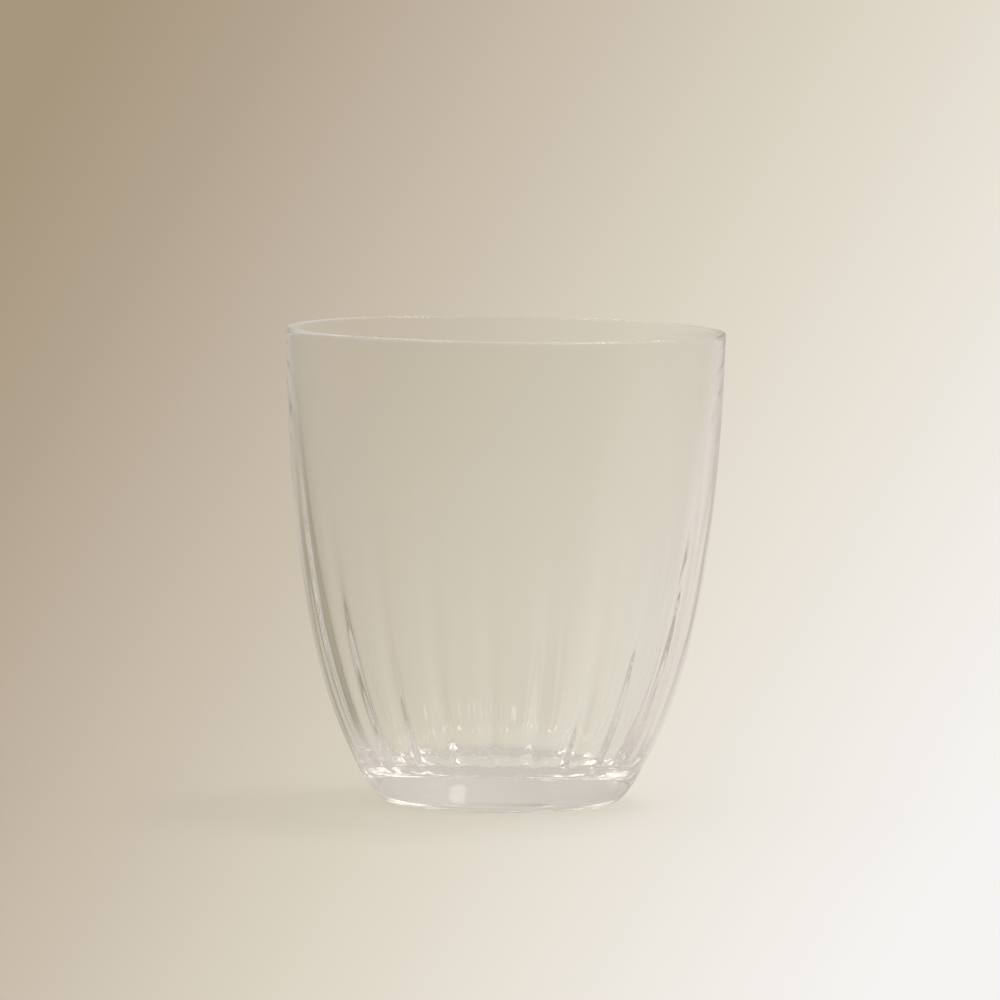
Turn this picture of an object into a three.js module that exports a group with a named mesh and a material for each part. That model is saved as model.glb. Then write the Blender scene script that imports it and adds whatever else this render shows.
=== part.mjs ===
// Water glass: a clear tumbler whose flared bowl, with soft upright ribs inside its lower half,
// stands on a thick base. The glass rests on z = 0 and its axis is +Z.
import * as THREE from 'three';

// Sizes in millimetres
const HEIGHT = 95; // table to the lip
const RIM_DIAMETER = 88; // outside, at the mouth
const RIM_WALL = 1.8; // glass at the mouth
const SEAT_DIAMETER = 62.1; // outside, where the bowl meets the base
const SEAT_WALL = 5.45; // glass there
const FLOOR_HEIGHT = 8.4; // table to the inside floor
const FLOOR_EDGE_RISE = 4; // rounded edge of the floor: how far it climbs to the bowl
const FLOOR_EDGE_RUN = 7.4; // and how wide it is
const FOOT_DIAMETER = 43; // outside of the flat ring that touches the table
const FOOT_RING_WIDTH = 2;
const PUNT_DEPTH = 1; // rise of the shallow hollow inside that ring

// Flow of the curved sides. A slope is outward travel per millimetre of height,
// and a reach is the height over which the curve is drawn along that slope.
const OUTSIDE_SEAT_SLOPE = 0.477;
const OUTSIDE_SEAT_REACH = 25.8;
const OUTSIDE_RIM_SLOPE = 0.04;
const OUTSIDE_RIM_REACH = 11.7;
const INSIDE_SEAT_SLOPE = 0.65;
const INSIDE_SEAT_REACH = 6;
const INSIDE_RIM_SLOPE = 0.06;
const INSIDE_RIM_REACH = 55;
const HEEL_FOOT_REACH = 4; // outward pull of the rounded heel beside the foot ring
const HEEL_SEAT_REACH = 6.9; // height over which the heel follows the bowl's slope

// Ribs, which keep their depth in the lower third and then fade out up the bowl
const RIB_COUNT = 20;
const RIB_DEPTH = 0.5;
const RIB_FADE_START = 32; // table to the level where they begin to fade
const RIB_TOP = 85; // table to the level where they are gone
const RIB_FADE = 2.3; // how they fade: 1 is a straight taper, more is quicker at first

// Facets
const FACETS_PER_RIB = 6;
const OUTSIDE_STEPS = 10;
const INSIDE_STEPS = 14;
const RIM_STEPS = 6; // an even number, so that the lip has its highest point
const HEEL_STEPS = 6;
const PUNT_STEPS = 3;
const FLOOR_EDGE_STEPS = 6;

// Levels and edges that the bowl and the base share
const seatHeight = FLOOR_HEIGHT + FLOOR_EDGE_RISE;
const seatOuter = new THREE.Vector2(SEAT_DIAMETER / 2, seatHeight);
const seatInner = new THREE.Vector2(seatOuter.x - SEAT_WALL, seatHeight);

const clearGlass = new THREE.MeshStandardMaterial({
  color: 0xf1f3ef,
  roughness: 0.03,
  metalness: 0,
  transparent: true,
  opacity: 0.35,
});

// A side of the bowl: one smooth curve from the seat up to the rim.
function sideCurve(bottom, bottomSlope, bottomReach, top, topSlope, topReach) {
  const aboveBottom = new THREE.Vector2(bottom.x + bottomSlope * bottomReach, bottom.y + bottomReach);
  const belowTop = new THREE.Vector2(top.x - topSlope * topReach, top.y - topReach);
  return new THREE.CubicBezierCurve(bottom, aboveBottom, belowTop, top);
}

// How far a rib stands in from the wall at a level: nothing at the floor, full from the seat
// to where the ribs begin to fade, and nothing again at their top.
function ribDepth(height) {
  const grown = Math.min(1, Math.max(0, (height - FLOOR_HEIGHT) / FLOOR_EDGE_RISE));
  const left = Math.min(1, Math.max(0, (RIB_TOP - height) / (RIB_TOP - RIB_FADE_START)));
  return RIB_DEPTH * Math.sqrt(grown) * left ** RIB_FADE;
}

// Turns an outline about the axis. The points in ribbed come after those in plain, and are
// drawn inwards by a wave that repeats once for each rib.
function revolve(plain, ribbed, closing) {
  const outline = [...plain, ...ribbed, ...closing];
  const geometry = new THREE.LatheGeometry(outline, RIB_COUNT * FACETS_PER_RIB);
  const position = geometry.getAttribute('position');
  for (let i = 0; i < position.count; i += 1) {
    const step = i % outline.length;
    if (step >= plain.length && step < plain.length + ribbed.length) {
      const angle = Math.atan2(position.getX(i), position.getZ(i));
      const wave = (1 + Math.cos(RIB_COUNT * angle)) / 2;
      const radius = outline[step].x - ribDepth(outline[step].y) * wave;
      position.setX(i, radius * Math.sin(angle));
      position.setZ(i, radius * Math.cos(angle));
    }
  }
  geometry.computeVertexNormals();
  geometry.rotateX(Math.PI / 2);
  return geometry;
}

function makeBowl() {
  const lipRadius = RIM_WALL / 2;
  const lipHeight = HEIGHT - lipRadius;
  const rimOuter = new THREE.Vector2(RIM_DIAMETER / 2, lipHeight);
  const rimInner = new THREE.Vector2(rimOuter.x - RIM_WALL, lipHeight);
  const outside = sideCurve(
    seatOuter, OUTSIDE_SEAT_SLOPE, OUTSIDE_SEAT_REACH, rimOuter, OUTSIDE_RIM_SLOPE, OUTSIDE_RIM_REACH);
  const inside = sideCurve(
    seatInner, INSIDE_SEAT_SLOPE, INSIDE_SEAT_REACH, rimInner, INSIDE_RIM_SLOPE, INSIDE_RIM_REACH);
  const lip = new THREE.EllipseCurve(rimOuter.x - lipRadius, lipHeight, lipRadius, lipRadius, 0, Math.PI);
  const plain = [...outside.getPoints(OUTSIDE_STEPS), ...lip.getPoints(RIM_STEPS).slice(1, -1)];
  const ribbed = inside.getPoints(INSIDE_STEPS).reverse();
  const bowl = new THREE.Mesh(revolve(plain, ribbed, [seatOuter]), clearGlass);
  bowl.name = 'bowl';
  return bowl;
}

function makeBase() {
  const footOuter = new THREE.Vector2(FOOT_DIAMETER / 2, 0);
  const footInner = new THREE.Vector2(footOuter.x - FOOT_RING_WIDTH, 0);
  const puntTop = new THREE.Vector2(0, PUNT_DEPTH);
  const punt = new THREE.QuadraticBezierCurve(
    puntTop, new THREE.Vector2(footInner.x / 2, PUNT_DEPTH), footInner);
  const heel = new THREE.CubicBezierCurve(
    footOuter,
    new THREE.Vector2(footOuter.x + HEEL_FOOT_REACH, 0),
    new THREE.Vector2(seatOuter.x - OUTSIDE_SEAT_SLOPE * HEEL_SEAT_REACH, seatHeight - HEEL_SEAT_REACH),
    seatOuter);
  const floorEdge = new THREE.QuadraticBezierCurve(
    seatInner,
    new THREE.Vector2(seatInner.x - INSIDE_SEAT_SLOPE * FLOOR_EDGE_RISE, FLOOR_HEIGHT),
    new THREE.Vector2(seatInner.x - FLOOR_EDGE_RUN, FLOOR_HEIGHT));
  const plain = [...punt.getPoints(PUNT_STEPS), ...heel.getPoints(HEEL_STEPS)];
  const ribbed = floorEdge.getPoints(FLOOR_EDGE_STEPS);
  const base = new THREE.Mesh(revolve(plain, ribbed, [new THREE.Vector2(0, FLOOR_HEIGHT)]), clearGlass);
  base.name = 'base';
  return base;
}

const waterGlass = new THREE.Group();
waterGlass.add(makeBowl(), makeBase());

export default waterGlass;
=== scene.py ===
"""Looks of a clear water glass: one continuous body of pressed glass on a pale studio floor.

Lengths are in metres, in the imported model's frame: the glass stands on z = 0 and its axis is +Z.
"""

import logging
import math
from dataclasses import dataclass
from enum import Enum

import bmesh
import bpy
from mathutils import Color, Matrix, Vector
from mathutils.geometry import interpolate_bezier


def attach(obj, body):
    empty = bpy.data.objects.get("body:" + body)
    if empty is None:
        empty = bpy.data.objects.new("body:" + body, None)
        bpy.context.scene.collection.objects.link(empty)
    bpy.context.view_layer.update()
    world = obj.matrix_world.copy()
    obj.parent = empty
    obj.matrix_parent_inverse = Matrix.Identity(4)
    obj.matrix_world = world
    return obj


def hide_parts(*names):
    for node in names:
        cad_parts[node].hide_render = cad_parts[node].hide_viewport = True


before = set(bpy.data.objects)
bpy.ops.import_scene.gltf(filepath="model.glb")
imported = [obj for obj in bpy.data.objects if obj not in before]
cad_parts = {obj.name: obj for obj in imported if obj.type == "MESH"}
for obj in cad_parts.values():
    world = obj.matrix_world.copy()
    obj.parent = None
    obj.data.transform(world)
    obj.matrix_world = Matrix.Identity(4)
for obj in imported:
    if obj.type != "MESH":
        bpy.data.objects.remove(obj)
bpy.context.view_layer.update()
LOG = logging.getLogger("water_glass")

Colour = tuple[float, float, float]
ShaderColour = tuple[float, float, float, float]
Direction = tuple[float, float, float]
Range = tuple[float, float]
Socket = bpy.types.NodeSocket
Input = Socket | float | ShaderColour

MM = 0.001
FULL_CHANNEL = 255
UP: Direction = (0.0, 0.0, 1.0)
BLACK: ShaderColour = (0.0, 0.0, 0.0, 1.0)
WHITE: ShaderColour = (1.0, 1.0, 1.0, 1.0)
# How far a Bezier curve is pulled along its ends to follow a quarter circle of radius 1
QUARTER_CIRCLE_PULL = 0.5523
# A ray's depths are whole numbers of bounces, and this parts none from some
SOME_BOUNCES = 0.5


class Sum(Enum):
    """Sums that a Math node can do here."""

    ADD = "ADD"
    SUBTRACT = "SUBTRACT"
    MULTIPLY = "MULTIPLY"
    DIVIDE = "DIVIDE"
    MAXIMUM = "MAXIMUM"
    MINIMUM = "MINIMUM"
    LESS = "LESS_THAN"
    GREATER = "GREATER_THAN"


class Blend(Enum):
    """What a Mix node can mix here: its type, then the places of its two inputs and of its output."""

    NUMBERS = ("FLOAT", 2, 3, 0)
    COLOURS = ("RGBA", 6, 7, 2)


def linear(colour: Colour) -> ShaderColour:
    """Turns a display colour into the linear one that shaders take.

    Args:
        colour: red, green and blue, from 0 to FULL_CHANNEL.

    Returns:
        The linear colour, with an alpha of 1.
    """
    shares = Color([channel / FULL_CHANNEL for channel in colour])
    return (*shares.from_srgb_to_scene_linear(), 1.0)


class Wiring:
    """Adds nodes to one node tree and links them."""

    def __init__(self, tree: bpy.types.NodeTree) -> None:
        """Clears the tree, so that only what is added here is in it."""
        self.tree = tree
        self.tree.nodes.clear()

    def node(self, kind: str) -> bpy.types.Node:
        """Adds a node of that kind."""
        return self.tree.nodes.new(kind)

    def feed(self, socket: Socket, value: Input) -> None:
        """Links a socket to another's output, or sets its own value.

        Args:
            socket: the input.
            value: the other socket, a number or a colour.
        """
        if isinstance(value, Socket):
            self.tree.links.new(value, socket)
        else:
            socket.default_value = value

    def sum(self, kind: Sum, first: Input, second: Input) -> Socket:
        """Works out one sum of two values.

        Args:
            kind: the sum.
            first: a socket or a number.
            second: a socket or a number.

        Returns:
            The socket with the result.
        """
        node = self.node("ShaderNodeMath")
        node.operation = kind.value
        self.feed(node.inputs[0], first)
        self.feed(node.inputs[1], second)
        return node.outputs[0]

    def between(self, value: Input, low: float, high: float) -> Socket:
        """Holds a value between two limits."""
        return self.sum(Sum.MINIMUM, self.sum(Sum.MAXIMUM, value, low), high)

    def bounced(self, depth: Socket) -> Socket:
        """Tells whether a ray has bounced in the way that its depth counts."""
        return self.sum(Sum.GREATER, depth, SOME_BOUNCES)

    def blend(self, kind: Blend, first: Input, second: Input, share: Input) -> Socket:
        """Mixes two values.

        Args:
            kind: numbers or colours.
            first: the value at a share of 0.
            second: the value at a share of 1.
            share: how much of the second is in the mix.

        Returns:
            The socket with the mixed value.
        """
        data_type, first_place, second_place, result_place = kind.value
        node = self.node("ShaderNodeMix")
        node.data_type = data_type
        self.feed(node.inputs[0], share)
        self.feed(node.inputs[first_place], first)
        self.feed(node.inputs[second_place], second)
        return node.outputs[result_place]

    def blend_shaders(self, first: Socket, second: Socket, share: Input) -> Socket:
        """Mixes two shaders.

        Args:
            first: the shader at a share of 0.
            second: the shader at a share of 1.
            share: how much of the second is in the mix.

        Returns:
            The socket with the mixed shader.
        """
        node = self.node("ShaderNodeMixShader")
        self.feed(node.inputs[0], share)
        self.feed(node.inputs[1], first)
        self.feed(node.inputs[2], second)
        return node.outputs[0]

    def ease(self, value: Input, start: float, end: float) -> Socket:
        """Rises smoothly from 0 to 1.

        Args:
            value: a socket or a number.
            start: the value that gives 0, and may be the higher of the two.
            end: the value that gives 1.

        Returns:
            The socket with the share.
        """
        node = self.node("ShaderNodeMapRange")
        node.interpolation_type = "SMOOTHSTEP"
        self.feed(node.inputs["Value"], value)
        node.inputs["From Min"].default_value = min(start, end)
        node.inputs["From Max"].default_value = max(start, end)
        node.inputs["To Min"].default_value = 0.0 if start < end else 1.0
        node.inputs["To Max"].default_value = 1.0 if start < end else 0.0
        return node.outputs[0]

    def along(self, vector: Socket, direction: Direction) -> Socket:
        """Works out how far a vector goes along a direction.

        Args:
            vector: the vector.
            direction: the direction, times what each unit along it counts for.

        Returns:
            The socket with the distance.
        """
        node = self.node("ShaderNodeVectorMath")
        node.operation = "DOT_PRODUCT"
        self.feed(node.inputs[0], vector)
        node.inputs[1].default_value = direction
        return node.outputs["Value"]

    def noise(self, vector: Socket, length: float, detail: float) -> Socket:
        """Adds a soft random pattern.

        Args:
            vector: where on the surface it is read.
            length: the size of its patches.
            detail: how many finer patterns lie on top.

        Returns:
            The socket with a value from 0 to 1.
        """
        node = self.node("ShaderNodeTexNoise")
        node.inputs["Scale"].default_value = 1 / length
        node.inputs["Detail"].default_value = detail
        self.feed(node.inputs["Vector"], vector)
        return node.outputs["Fac"]

    def group(self, tree: bpy.types.NodeTree, values: dict[str, Input]) -> Socket:
        """Adds a node group.

        Args:
            tree: the group.
            values: what goes into each of its inputs, by name.

        Returns:
            The socket with its first output.
        """
        node = self.node("ShaderNodeGroup")
        node.node_tree = tree
        for name, value in values.items():
            self.feed(node.inputs[name], value)
        return node.outputs[0]

    def place(self) -> tuple[Socket, list[Socket]]:
        """Reads the object's own coordinates.

        Returns:
            The vector, and its X, Y and Z.
        """
        coordinates = self.node("ShaderNodeTexCoord")
        apart = self.node("ShaderNodeSeparateXYZ")
        self.feed(apart.inputs[0], coordinates.outputs["Object"])
        return coordinates.outputs["Object"], list(apart.outputs)

    def background(self, colour: ShaderColour, strength: Input) -> Socket:
        """Adds a shader for the world.

        Args:
            colour: its colour.
            strength: its strength, where 1 shows the colour as it is.

        Returns:
            The socket with the shader.
        """
        node = self.node("ShaderNodeBackground")
        self.feed(node.inputs["Color"], colour)
        self.feed(node.inputs["Strength"], strength)
        return node.outputs[0]

    def surface(self, kind: str, shader: Socket) -> None:
        """Hands the finished shader to an output of that kind."""
        self.feed(self.node(kind).inputs["Surface"], shader)


def start_material(name: str) -> tuple[bpy.types.Material, Wiring]:
    """Makes an empty material.

    Args:
        name: what it is called.

    Returns:
        The material, and the wiring that fills it.
    """
    material = bpy.data.materials.new(name)
    material.use_nodes = True
    return material, Wiring(material.node_tree)


def turn_round(
    mesh: bmesh.types.BMesh, outline: list[bmesh.types.BMVert | bmesh.types.BMEdge], steps: int
) -> None:
    """Turns an outline once round the model's axis."""
    bmesh.ops.spin(
        mesh, geom=outline, cent=(0, 0, 0), axis=UP, angle=math.tau, steps=steps, use_merge=True)


def as_object(name: str, mesh: bmesh.types.BMesh) -> bpy.types.Object:
    """Puts a finished shape into the scene.

    Args:
        name: what the object and its mesh are called.
        mesh: the shape, which is freed.

    Returns:
        The object, at the origin.
    """
    data = bpy.data.meshes.new(name)
    mesh.to_mesh(data)
    mesh.free()
    made = bpy.data.objects.new(name, data)
    bpy.context.scene.collection.objects.link(made)
    return made


@dataclass(frozen=True)
class ClearGlass:
    """Fire-polished colourless glass, with the faint waviness of a pressed body.

    The foot ring is worn matt by tables, and old wiping leaves the gloss a little uneven.
    """

    name: str = "clear_glass"
    refraction: float = 1.5
    body_colour: Colour = (252, 252, 251)
    base_colour: Colour = (252, 253, 252)
    base_top: float = 14 * MM
    wave_length: float = 24 * MM
    wave_detail: float = 1.0
    wave_height: float = 0.02 * MM
    wipe_length: float = 6 * MM
    wipe_detail: float = 3.0
    wipe_edge: Range = (0.5, 0.75)
    wipe_roughness: float = 0.004
    worn_height: float = 0.12 * MM
    worn_roughness: float = 0.3

    def material(self) -> bpy.types.Material:
        """Makes the material.

        Returns:
            A material whose nodes read Object coordinates.
        """
        material, wiring = start_material(self.name)
        vector, (_, _, level) = wiring.place()
        shader = wiring.node("ShaderNodeBsdfPrincipled")
        shader.inputs["IOR"].default_value = self.refraction
        shader.inputs["Transmission Weight"].default_value = 1.0
        shader.inputs["Metallic"].default_value = 0.0
        wiring.feed(shader.inputs["Base Color"], self.tint(wiring, level))
        wiring.feed(shader.inputs["Roughness"], self.gloss(wiring, vector, level))
        wiring.feed(shader.inputs["Normal"], self.waves(wiring, vector))
        wiring.surface("ShaderNodeOutputMaterial", shader.outputs[0])
        return material

    def tint(self, wiring: Wiring, level: Socket) -> Socket:
        """Colours the thick base a trace differently from the thin bowl.

        Args:
            wiring: the material's nodes.
            level: height above the table.

        Returns:
            The socket with the colour.
        """
        return wiring.blend(
            Blend.COLOURS, linear(self.body_colour), linear(self.base_colour),
            wiring.ease(level, self.base_top, 0.0))

    def gloss(self, wiring: Wiring, vector: Socket, level: Socket) -> Socket:
        """Roughens the foot ring, and the rest by a hair where it was wiped.

        Args:
            wiring: the material's nodes.
            vector: Object coordinates.
            level: height above the table.

        Returns:
            The socket with the roughness.
        """
        patches = wiring.ease(wiring.noise(vector, self.wipe_length, self.wipe_detail), *self.wipe_edge)
        wiped = wiring.sum(Sum.MULTIPLY, patches, self.wipe_roughness)
        worn = wiring.ease(level, self.worn_height, 0.0)
        return wiring.blend(Blend.NUMBERS, wiped, self.worn_roughness, worn)

    def waves(self, wiring: Wiring, vector: Socket) -> Socket:
        """Bends the surface by the faint waves that pressing leaves.

        Args:
            wiring: the material's nodes.
            vector: Object coordinates.

        Returns:
            The socket with the normal.
        """
        bump = wiring.node("ShaderNodeBump")
        bump.inputs["Distance"].default_value = self.wave_height
        wiring.feed(bump.inputs["Height"], wiring.noise(vector, self.wave_length, self.wave_detail))
        return bump.outputs["Normal"]


@dataclass(frozen=True)
class Span:
    """One smooth stretch of the outline, drawn as a Bezier curve in the plane y = 0."""

    start: Vector
    start_pull: Vector
    end_pull: Vector
    end: Vector
    steps: int

    def points(self) -> list[Vector]:
        """Gives the points after the start, up to and with the end."""
        return interpolate_bezier(self.start, self.start_pull, self.end_pull, self.end, self.steps + 1)[1:]


def outline_point(radius: float, height: float) -> Vector:
    """A point of the outline, from its distance to the axis and its height."""
    return Vector((radius, 0.0, height))


def parabola(start: Vector, corner: Vector, end: Vector, steps: int) -> Span:
    """A stretch that leaves its start towards a corner and comes to its end from there."""
    return Span(start, start.lerp(corner, 2 / 3), end.lerp(corner, 2 / 3), end, steps)


def straight(start: Vector, end: Vector, steps: int) -> Span:
    """A straight stretch."""
    return Span(start, start.lerp(end, 1 / 3), start.lerp(end, 2 / 3), end, steps)


@dataclass
class Tumbler:
    """The glass itself: a flared bowl with ribs pressed inside its lower half, on a thick base.

    A slope is outward travel per unit of height, and a reach is how far a curve is drawn along it. The ribs
    are rib_foot_depth deep where the bowl meets the base, and rib_depth deep where they begin to fade.
    """

    height: float = 95 * MM
    rim_diameter: float = 88 * MM
    rim_wall: float = 1.2 * MM
    seat_diameter: float = 62.1 * MM
    seat_wall: float = 5.45 * MM
    floor_height: float = 8.4 * MM
    floor_edge_rise: float = 4 * MM
    floor_edge_run: float = 7.4 * MM
    foot_diameter: float = 43 * MM
    foot_ring_width: float = 2 * MM
    punt_depth: float = 1 * MM
    outside_seat_slope: float = 0.477
    outside_seat_reach: float = 25.8 * MM
    outside_rim_slope: float = 0.04
    outside_rim_reach: float = 11.7 * MM
    inside_seat_slope: float = 0.65
    inside_seat_reach: float = 6 * MM
    inside_rim_slope: float = 0.071
    inside_rim_reach: float = 55 * MM
    heel_foot_reach: float = 4 * MM
    heel_seat_reach: float = 6.9 * MM
    rib_count: int = 20
    rib_depth: float = 0.28 * MM
    rib_foot_depth: float = 0.75 * MM
    rib_fade_start: float = 36 * MM
    rib_top: float = 85 * MM
    rib_fade: float = 2.3
    rib_narrowness: float = 3.0
    rib_turn: float = -3.8
    punt_steps: int = 12
    foot_ring_steps: int = 3
    heel_steps: int = 20
    outside_steps: int = 48
    lip_steps: int = 6
    inside_steps: int = 110
    floor_edge_steps: int = 14
    floor_steps: int = 8
    turns: int = 400
    merge_distance: float = 0.0005 * MM

    @property
    def seat_level(self) -> float:
        """The height at which the bowl meets the base."""
        return self.floor_height + self.floor_edge_rise

    def outline(self) -> list[Vector]:
        """Draws the wall's outline from the middle of the underside, round the rim, to the inside floor.

        Returns:
            The points, in order.
        """
        seat_outer = outline_point(self.seat_diameter / 2, self.seat_level)
        seat_inner = outline_point(self.seat_diameter / 2 - self.seat_wall, self.seat_level)
        lip = self.rim_wall / 2
        rim_outer = outline_point(self.rim_diameter / 2, self.height - lip)
        rim_inner = outline_point(self.rim_diameter / 2 - self.rim_wall, self.height - lip)
        rim_top = outline_point(self.rim_diameter / 2 - lip, self.height)
        foot_outer = outline_point(self.foot_diameter / 2, 0.0)
        foot_inner = outline_point(self.foot_diameter / 2 - self.foot_ring_width, 0.0)
        punt_top = outline_point(0.0, self.punt_depth)
        punt_corner = outline_point(foot_inner.x / 2, self.punt_depth)
        floor_middle = outline_point(0.0, self.floor_height)
        floor_edge = outline_point(seat_inner.x - self.floor_edge_run, self.floor_height)
        floor_corner = outline_point(
            seat_inner.x - self.inside_seat_slope * self.floor_edge_rise, self.floor_height)
        lip_up = outline_point(0.0, QUARTER_CIRCLE_PULL * lip)
        lip_out = outline_point(QUARTER_CIRCLE_PULL * lip, 0.0)
        heel_out = outline_point(self.heel_foot_reach, 0.0)
        outside_seat_lean = outline_point(self.outside_seat_slope, 1.0)
        outside_rim_lean = outline_point(self.outside_rim_slope, 1.0)
        inside_seat_lean = outline_point(self.inside_seat_slope, 1.0)
        inside_rim_lean = outline_point(self.inside_rim_slope, 1.0)
        spans = [
            parabola(punt_top, punt_corner, foot_inner, self.punt_steps),
            straight(foot_inner, foot_outer, self.foot_ring_steps),
            Span(foot_outer, foot_outer + heel_out,
                 seat_outer - self.heel_seat_reach * outside_seat_lean, seat_outer, self.heel_steps),
            Span(seat_outer, seat_outer + self.outside_seat_reach * outside_seat_lean,
                 rim_outer - self.outside_rim_reach * outside_rim_lean, rim_outer, self.outside_steps),
            Span(rim_outer, rim_outer + lip_up, rim_top + lip_out, rim_top, self.lip_steps),
            Span(rim_top, rim_top - lip_out, rim_inner + lip_up, rim_inner, self.lip_steps),
            Span(rim_inner, rim_inner - self.inside_rim_reach * inside_rim_lean,
                 seat_inner + self.inside_seat_reach * inside_seat_lean, seat_inner, self.inside_steps),
            parabola(seat_inner, floor_corner, floor_edge, self.floor_edge_steps),
            straight(floor_edge, floor_middle, self.floor_steps),
        ]
        return [punt_top] + [point for span in spans for point in span.points()]

    def rib_height(self, level: float) -> float:
        """How far a rib stands in from the wall at a level.

        Args:
            level: height above the table.

        Returns:
            Nothing at the floor, the most where the bowl meets the base, less up the bowl, and nothing again
            at the ribs' top.
        """
        if level < self.seat_level:
            return self.rib_foot_depth * math.sqrt(max(0.0, level - self.floor_height) / self.floor_edge_rise)
        if level < self.rib_fade_start:
            climbed = (level - self.seat_level) / (self.rib_fade_start - self.seat_level)
            return self.rib_foot_depth + (self.rib_depth - self.rib_foot_depth) * climbed
        left = max(0.0, (self.rib_top - level) / (self.rib_top - self.rib_fade_start))
        return self.rib_depth * left**self.rib_fade

    def press_ribs(self, mesh: bmesh.types.BMesh) -> None:
        """Draws the inside wall in by a wave that repeats once for each rib.

        Args:
            mesh: the turned body, with its normals outwards, so that the inside wall looks at the axis.
        """
        mesh.normal_update()
        moves = []
        for vert in mesh.verts:
            spoke = Vector((vert.co.x, vert.co.y, 0.0))
            if vert.co.z > self.floor_height and spoke.length > 0 and vert.normal.dot(spoke) < 0:
                angle = math.atan2(vert.co.y, vert.co.x) - math.radians(self.rib_turn)
                wave = ((1 + math.cos(self.rib_count * angle)) / 2) ** self.rib_narrowness
                moves.append((vert, spoke.normalized() * self.rib_height(vert.co.z) * wave))
        for vert, move in moves:
            vert.co -= move

    def build(self) -> bpy.types.Object:
        """Turns the outline about the axis and presses the ribs.

        Returns:
            The glass, as one closed mesh.
        """
        mesh = bmesh.new()
        verts = [mesh.verts.new(point) for point in self.outline()]
        edges = [mesh.edges.new(pair) for pair in zip(verts, verts[1:])]
        turn_round(mesh, verts + edges, self.turns)
        bmesh.ops.remove_doubles(mesh, verts=mesh.verts, dist=self.merge_distance)
        bmesh.ops.recalc_face_normals(mesh, faces=mesh.faces)
        self.press_ribs(mesh)
        for face in mesh.faces:
            face.smooth = True
        piece = as_object("tumbler", mesh)
        LOG.info("tumbler: %d faces", len(piece.data.polygons))
        return piece

    def dress(self, piece: bpy.types.Object, finish: ClearGlass) -> None:
        """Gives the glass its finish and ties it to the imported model.

        Args:
            piece: the glass.
            finish: its finish.
        """
        piece.data.materials.append(finish.material())
        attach(piece, "root")
        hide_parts("bowl", "base")


@dataclass(frozen=True)
class Viewpoint:
    """The camera: a long lens a little above the rim, looking down at the glass."""

    side: float = -0.0007
    distance: float = 2.05
    height: float = 0.21646
    pitch: float = 4.3468
    roll: float = 0.85
    focal_pixels: float = 10268.0
    frame_pixels: float = 1000.0
    sensor: float = 36.0
    farthest: float = 100.0

    def build(self) -> None:
        """Makes the camera and hands it to the scene."""
        data = bpy.data.cameras.new("camera")
        data.sensor_width = self.sensor
        data.lens = self.focal_pixels * self.sensor / self.frame_pixels
        data.clip_end = self.farthest
        camera = bpy.data.objects.new("camera", data)
        bpy.context.scene.collection.objects.link(camera)
        camera.matrix_world = (
            Matrix.Translation((self.side, -self.distance, self.height))
            @ Matrix.Rotation(math.pi / 2 - math.radians(self.pitch), 4, "X")
            @ Matrix.Rotation(math.radians(self.roll), 4, "Z"))
        bpy.context.scene.camera = camera
        LOG.info("camera: %.1f mm lens", data.lens)

    def pixel(self, wiring: Wiring, across: Input, reach: Input, level: Input) -> list[Socket]:
        """Finds where in the photograph's frame a point of the room lies.

        Args:
            wiring: the nodes that ask.
            across: the point's place along X.
            reach: its distance from the camera along Y.
            level: its height.

        Returns:
            The sockets with its column and its row.
        """
        middle = self.frame_pixels / 2
        aside = wiring.sum(Sum.DIVIDE, wiring.sum(Sum.SUBTRACT, across, self.side), reach)
        below = wiring.sum(Sum.DIVIDE, wiring.sum(Sum.SUBTRACT, self.height, level), reach)
        fall = wiring.sum(Sum.SUBTRACT, below, math.tan(math.radians(self.pitch)))
        return [
            wiring.sum(Sum.ADD, wiring.sum(Sum.MULTIPLY, share, self.focal_pixels), middle)
            for share in (aside, fall)]


@dataclass(frozen=True)
class ToneAndLightFalloff:
    """The studio's pale tone, with painted light fall-off: it runs from warm grey at the far left of the
    frame, where less light falls, to near white at the near right.
    """

    slant: float = 0.573
    span_pixels: float = 1573.0
    stops: tuple[tuple[float, Colour], ...] = (
        (0.06, (167, 150, 126)), (0.18, (178, 163, 143)), (0.37, (201, 189, 172)),
        (0.52, (217, 209, 192)), (0.68, (231, 225, 213)), (0.82, (240, 236, 230)),
        (0.93, (245, 243, 241)))

    def group(self) -> bpy.types.NodeTree:
        """Makes the node group that the floor and the card share.

        Returns:
            A group that takes a column and a row of the frame and gives the tone there, with its painted
            light fall-off.
        """
        tree = bpy.data.node_groups.new("tone_and_light_falloff", "ShaderNodeTree")
        tree.interface.new_socket("Column", in_out="INPUT", socket_type="NodeSocketFloat")
        tree.interface.new_socket("Row", in_out="INPUT", socket_type="NodeSocketFloat")
        tree.interface.new_socket("Tone", in_out="OUTPUT", socket_type="NodeSocketColor")
        wiring = Wiring(tree)
        place = wiring.node("NodeGroupInput")
        lowered = wiring.sum(Sum.MULTIPLY, place.outputs["Row"], self.slant)
        slanted = wiring.sum(Sum.ADD, place.outputs["Column"], lowered)
        # The ramp paints the light's fall-off across the frame: darker at the far left, paler at the near
        # right.
        ramp = wiring.node("ShaderNodeValToRGB")
        wiring.feed(ramp.inputs[0], wiring.sum(Sum.DIVIDE, slanted, self.span_pixels))
        elements = ramp.color_ramp.elements
        elements[0].position, elements[1].position = self.stops[0][0], self.stops[-1][0]
        elements[0].color, elements[1].color = linear(self.stops[0][1]), linear(self.stops[-1][1])
        for share, colour in self.stops[1:-1]:
            elements.new(share).color = linear(colour)
        wiring.feed(wiring.node("NodeGroupOutput").inputs[0], ramp.outputs[0])
        return tree


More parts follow.
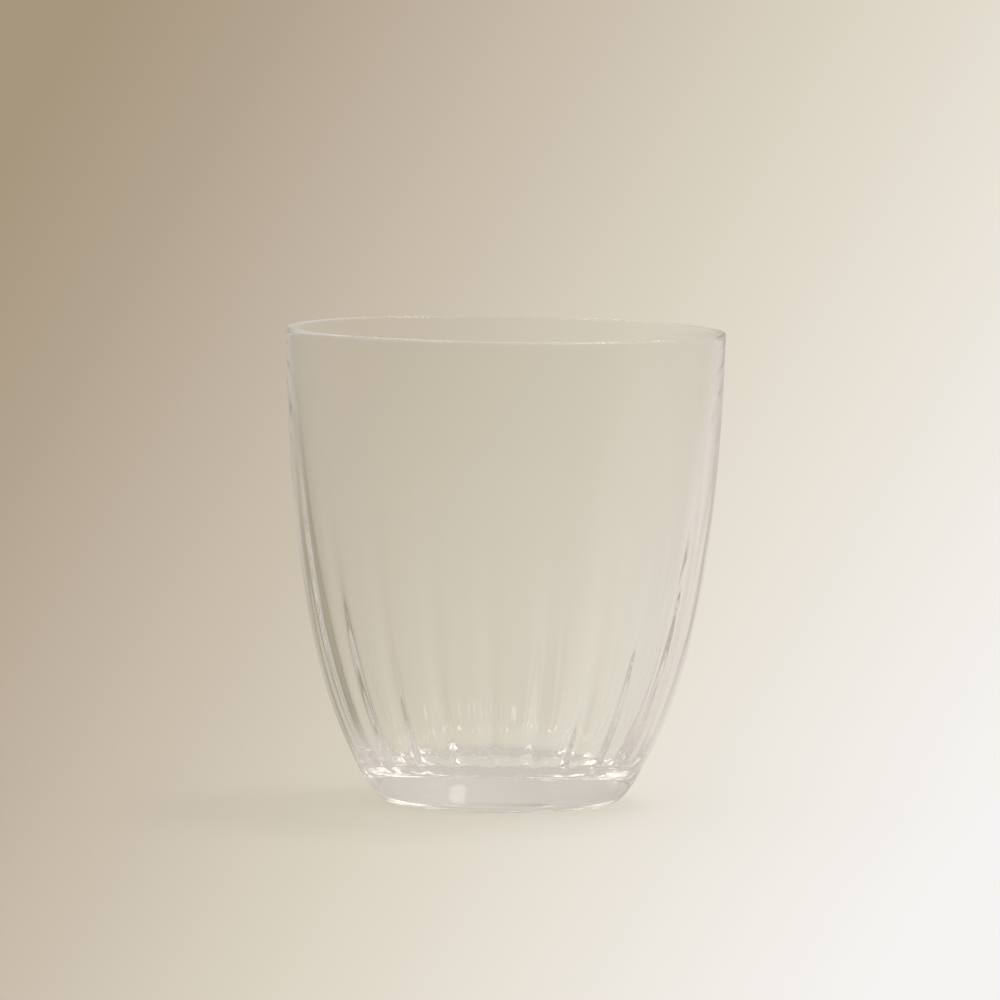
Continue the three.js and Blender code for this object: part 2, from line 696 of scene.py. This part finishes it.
@dataclass(frozen=True)
class Tabletop:
    """The pale floor, in the studio's tone and painted light fall-off, with painted shade of its own for rays
    that the glass has mirrored.
    """

    half_size: float = 9.0
    nearest: float = 1.2
    below: float = 0.1 * MM
    seen_across: Range = (250.0, 760.0)
    seen_along: Range = (200.0, 900.0)
    # Painted shade for mirrored rays: a level of light that is lower far off and towards the left and the
    # front, and warmer where it is darker, with one painted level of light under the glass, in the glass's
    # shade.
    mirrored_dark: Colour = (255, 240, 210)
    mirrored_pale: Colour = (255, 246, 235)
    mirrored_warmth: Range = (0.3, 0.7)
    mirrored_shade_under: float = 0.62
    mirrored_near: float = 0.4
    mirrored_far: float = 0.3
    mirrored_least: float = 0.38
    mirrored_swing: Direction = (0.3, 0.25, 0.0)
    under: Range = (70 * MM, 30 * MM)
    near: Range = (1000 * MM, 400 * MM)

    def build(self, viewpoint: Viewpoint, tone: bpy.types.NodeTree) -> None:
        """Makes the floor.

        Args:
            viewpoint: the camera whose frame the tone runs across.
            tone: the group that gives the tone and its painted light fall-off.
        """
        mesh = bmesh.new()
        bmesh.ops.create_grid(mesh, x_segments=2, y_segments=2, size=self.half_size)
        floor = as_object("tabletop", mesh)
        floor.location.z = -self.below
        floor.data.materials.append(self.material(viewpoint, tone))
        LOG.info("tabletop: %.0f m across", 2 * self.half_size)

    def material(self, viewpoint: Viewpoint, tone: bpy.types.NodeTree) -> bpy.types.Material:
        """Makes the floor's material: matt, and evenly lit where it is seen straight through the glass.

        Args:
            viewpoint: the camera whose frame the tone runs across.
            tone: the group that gives the tone and its painted light fall-off.

        Returns:
            The material.
        """
        material, wiring = start_material("tabletop")
        material.cycles.emission_sampling = "NONE"
        vector, (across, along, _) = wiring.place()
        path = wiring.node("ShaderNodeLightPath").outputs
        reach = wiring.sum(Sum.MAXIMUM, wiring.sum(Sum.ADD, along, viewpoint.distance), self.nearest)
        column, row = (
            wiring.blend(Blend.NUMBERS, wiring.between(place, *seen), place, path["Is Camera Ray"])
            for place, seen in zip(
                viewpoint.pixel(wiring, across, reach, 0.0), (self.seen_across, self.seen_along)))
        is_sight = wiring.sum(Sum.LESS, path["Diffuse Depth"], SOME_BOUNCES)
        is_mirrored = wiring.sum(Sum.MULTIPLY, wiring.bounced(path["Glossy Depth"]), is_sight)
        is_through = wiring.sum(Sum.MULTIPLY, path["Is Transmission Ray"], is_sight)
        # Rays that the glass has mirrored find the painted shade in place of the tone.
        colour = wiring.blend(
            Blend.COLOURS, wiring.group(tone, {"Column": column, "Row": row}),
            self.mirrored_painted_shade(wiring, vector), is_mirrored)
        matt = wiring.node("ShaderNodeBsdfDiffuse")
        wiring.feed(matt.inputs["Color"], colour)
        lit = wiring.node("ShaderNodeEmission")
        wiring.feed(lit.inputs["Color"], colour)
        either = wiring.blend_shaders(matt.outputs[0], lit.outputs[0], is_through)
        wiring.surface("ShaderNodeOutputMaterial", either)
        return material

    def mirrored_painted_shade(self, wiring: Wiring, vector: Socket) -> Socket:
        """Works out the painted shade that mirrored rays find: one level close to the glass, then one by
        side, darker to the left and the front.

        Args:
            wiring: the material's nodes.
            vector: Object coordinates.

        Returns:
            The socket with the colour.
        """
        outward = wiring.node("ShaderNodeVectorMath")
        outward.operation = "NORMALIZE"
        wiring.feed(outward.inputs[0], vector)
        away = wiring.node("ShaderNodeVectorMath")
        away.operation = "LENGTH"
        wiring.feed(away.inputs[0], vector)
        is_near = wiring.ease(away.outputs["Value"], *self.near)
        is_under = wiring.ease(away.outputs["Value"], *self.under)
        # Painted shade: lower far off, and lower towards the left and the front.
        level = wiring.blend(Blend.NUMBERS, self.mirrored_far, self.mirrored_near, is_near)
        level = wiring.sum(Sum.ADD, level, wiring.along(outward.outputs[0], self.mirrored_swing))
        level = wiring.sum(Sum.MAXIMUM, level, self.mirrored_least)
        # Painted level of light under the glass, in its shade.
        level = wiring.blend(Blend.NUMBERS, level, self.mirrored_shade_under, is_under)
        warmth = wiring.blend(
            Blend.COLOURS, linear(self.mirrored_dark), linear(self.mirrored_pale),
            wiring.ease(level, *self.mirrored_warmth))
        return wiring.blend(Blend.COLOURS, BLACK, warmth, level)


@dataclass(frozen=True)
class ToneCard:
    """A card bent round the glass, in the studio's tone and painted light fall-off, that shows only through
    the glass.

    It fades out towards the camera, so that it doesn't stand behind the glass in a view from the back.
    """

    radius: float = 50 * MM
    height: float = 130 * MM
    fade: Range = (10 * MM, -15 * MM)
    steps: int = 96

    def build(self, viewpoint: Viewpoint, tone: bpy.types.NodeTree) -> None:
        """Stands the card on the floor.

        Args:
            viewpoint: the camera whose frame the tone runs across.
            tone: the group that gives the tone and its painted light fall-off.
        """
        mesh = bmesh.new()
        ends = [mesh.verts.new((self.radius, 0.0, level)) for level in (0.0, self.height)]
        turn_round(mesh, [*ends, mesh.edges.new(ends)], self.steps)
        card = as_object("tone_card", mesh)
        card.visible_camera = False
        card.visible_diffuse = False
        card.visible_glossy = False
        card.visible_shadow = False
        card.data.materials.append(self.material(viewpoint, tone))
        LOG.info("tone card: %.0f mm high", self.height / MM)

    def material(self, viewpoint: Viewpoint, tone: bpy.types.NodeTree) -> bpy.types.Material:
        """Makes the card's evenly lit face, which mirrored and scattered rays pass.

        Args:
            viewpoint: the camera whose frame the tone runs across.
            tone: the group that gives the tone and its painted light fall-off.

        Returns:
            The material.
        """
        material, wiring = start_material("tone_card")
        material.cycles.emission_sampling = "NONE"
        _, (across, along, level) = wiring.place()
        reach = wiring.sum(Sum.ADD, along, viewpoint.distance)
        column, row = viewpoint.pixel(wiring, across, reach, level)
        face = wiring.node("ShaderNodeEmission")
        # The face glows in the tone, with its painted light fall-off.
        wiring.feed(face.inputs["Color"], wiring.group(tone, {"Column": column, "Row": row}))
        clear = wiring.node("ShaderNodeBsdfTransparent")
        path = wiring.node("ShaderNodeLightPath").outputs
        has_bounced = wiring.bounced(wiring.sum(Sum.ADD, path["Glossy Depth"], path["Diffuse Depth"]))
        clearness = wiring.sum(Sum.MAXIMUM, has_bounced, wiring.ease(along, *self.fade))
        either = wiring.blend_shaders(face.outputs[0], clear.outputs[0], clearness)
        wiring.surface("ShaderNodeOutputMaterial", either)
        return material


@dataclass(frozen=True)
class Spot:
    """A round, soft-edged part of the room, brighter or darker than the rest, that the glass mirrors.

    Its turn about +Z from +X, its rise above level and its sizes are in degrees.
    """

    turn: float
    rise: float
    angle: float
    edge: float
    radiance: float

    def level(self, wiring: Wiring, outward: Socket) -> Socket:
        """Works out what the spot adds to the room.

        Args:
            wiring: the world's nodes.
            outward: the direction in which a ray leaves.

        Returns:
            The socket with the strength.
        """
        turn, rise = math.radians(self.turn), math.radians(self.rise)
        nearness = wiring.along(
            outward, (math.cos(turn) * math.cos(rise), math.sin(turn) * math.cos(rise), math.sin(rise)))
        outer = math.cos(math.radians(self.angle + self.edge))
        inner = math.cos(math.radians(self.angle))
        return wiring.sum(Sum.MULTIPLY, wiring.ease(nearness, outer, inner), self.radiance)


@dataclass(frozen=True)
class Studio:
    """Soft light from all round, and a room whose windows and dark corners the glass mirrors."""

    light: float = 0.95
    bounces: int = 256
    backdrop: Colour = (203, 193, 181)
    room_colour: Colour = (255, 247, 236)
    room: float = 0.65
    horizon: float = 0.42
    horizon_swing: Direction = (0.05, 0.25, 0.0)
    horizon_least: float = 0.5
    horizon_top: float = 0.35
    spots: tuple[Spot, ...] = (
        Spot(turn=306, rise=43, angle=4, edge=1.5, radiance=3.5),
        Spot(turn=350, rise=60, angle=8, edge=1.5, radiance=4.5),
        Spot(turn=208, rise=60, angle=7, edge=1.5, radiance=4.5),
        Spot(turn=190, rise=26, angle=10, edge=22, radiance=0.3),
        Spot(turn=245, rise=47, angle=12, edge=15, radiance=-0.35),
    )
    lamp_towards: Direction = (0.25, 0.25, 1.0)
    lamp_angle: float = 20.0
    lamp_share: float = 0.06

    def build(self) -> None:
        """Sets the world, the lamp, the paths of light and the picture's plain colour handling."""
        scene = bpy.context.scene
        scene.view_settings.view_transform = "Standard"
        scene.cycles.caustics_reflective = True
        scene.cycles.caustics_refractive = True
        scene.cycles.blur_glossy = 0.0
        scene.cycles.max_bounces = self.bounces
        scene.cycles.glossy_bounces = self.bounces
        scene.cycles.transmission_bounces = self.bounces
        self.build_world()
        self.build_lamp()

    def build_world(self) -> None:
        """Makes the world: white light, a backdrop for the camera, and a room for the glass to mirror."""
        world = bpy.data.worlds.new("studio")
        bpy.context.scene.world = world
        world.use_nodes = True
        world.cycles.sampling_method = "NONE"
        wiring = Wiring(world.node_tree)
        light = wiring.background(WHITE, self.light)
        backdrop = wiring.background(linear(self.backdrop), 1.0)
        room = wiring.background(linear(self.room_colour), self.room_level(wiring))
        path = wiring.node("ShaderNodeLightPath").outputs
        around = wiring.blend_shaders(backdrop, room, wiring.bounced(path["Glossy Depth"]))
        either = wiring.blend_shaders(around, light, wiring.bounced(path["Diffuse Depth"]))
        wiring.surface("ShaderNodeOutputWorld", either)
        LOG.info("world: light %.2f", self.light)

    def room_level(self, wiring: Wiring) -> Socket:
        """Works out how bright the mirrored room is: darker near the horizon, with the spots on top.

        Args:
            wiring: the world's nodes.

        Returns:
            The socket with the strength, which is never below 0.
        """
        outward = wiring.node("ShaderNodeTexCoord").outputs["Generated"]
        low = wiring.sum(Sum.ADD, wiring.along(outward, self.horizon_swing), self.horizon)
        low = wiring.sum(Sum.MAXIMUM, low, self.horizon_least)
        height = wiring.ease(wiring.along(outward, UP), 0.0, self.horizon_top)
        level = wiring.blend(Blend.NUMBERS, low, self.room, height)
        for spot in self.spots:
            level = wiring.sum(Sum.ADD, level, spot.level(wiring, outward))
        return wiring.sum(Sum.MAXIMUM, level, 0.0)

    def build_lamp(self) -> None:
        """Hangs the lamp that gives the glass its faint shadow."""
        towards = Vector(self.lamp_towards).normalized()
        data = bpy.data.lights.new("lamp", "SUN")
        data.angle = math.radians(self.lamp_angle)
        data.energy = self.lamp_share * math.pi / towards.z
        lamp = bpy.data.objects.new("lamp", data)
        bpy.context.scene.collection.objects.link(lamp)
        lamp.rotation_euler = (-towards).to_track_quat("-Z", "Y").to_euler()
        lamp.visible_glossy = False
        lamp.visible_transmission = False
        LOG.info("lamp: %.2f of the light", self.lamp_share)


def main() -> None:
    """Builds the glass, the camera, the floor, the card and the light, in that order."""
    logging.basicConfig(level=logging.INFO, format="%(name)s: %(message)s")
    tumbler = Tumbler()
    tumbler.dress(tumbler.build(), ClearGlass())
    viewpoint = Viewpoint()
    viewpoint.build()
    tone = ToneAndLightFalloff().group()
    Tabletop().build(viewpoint, tone)
    ToneCard().build(viewpoint, tone)
    Studio().build()


if __name__ == "__main__":
    main()
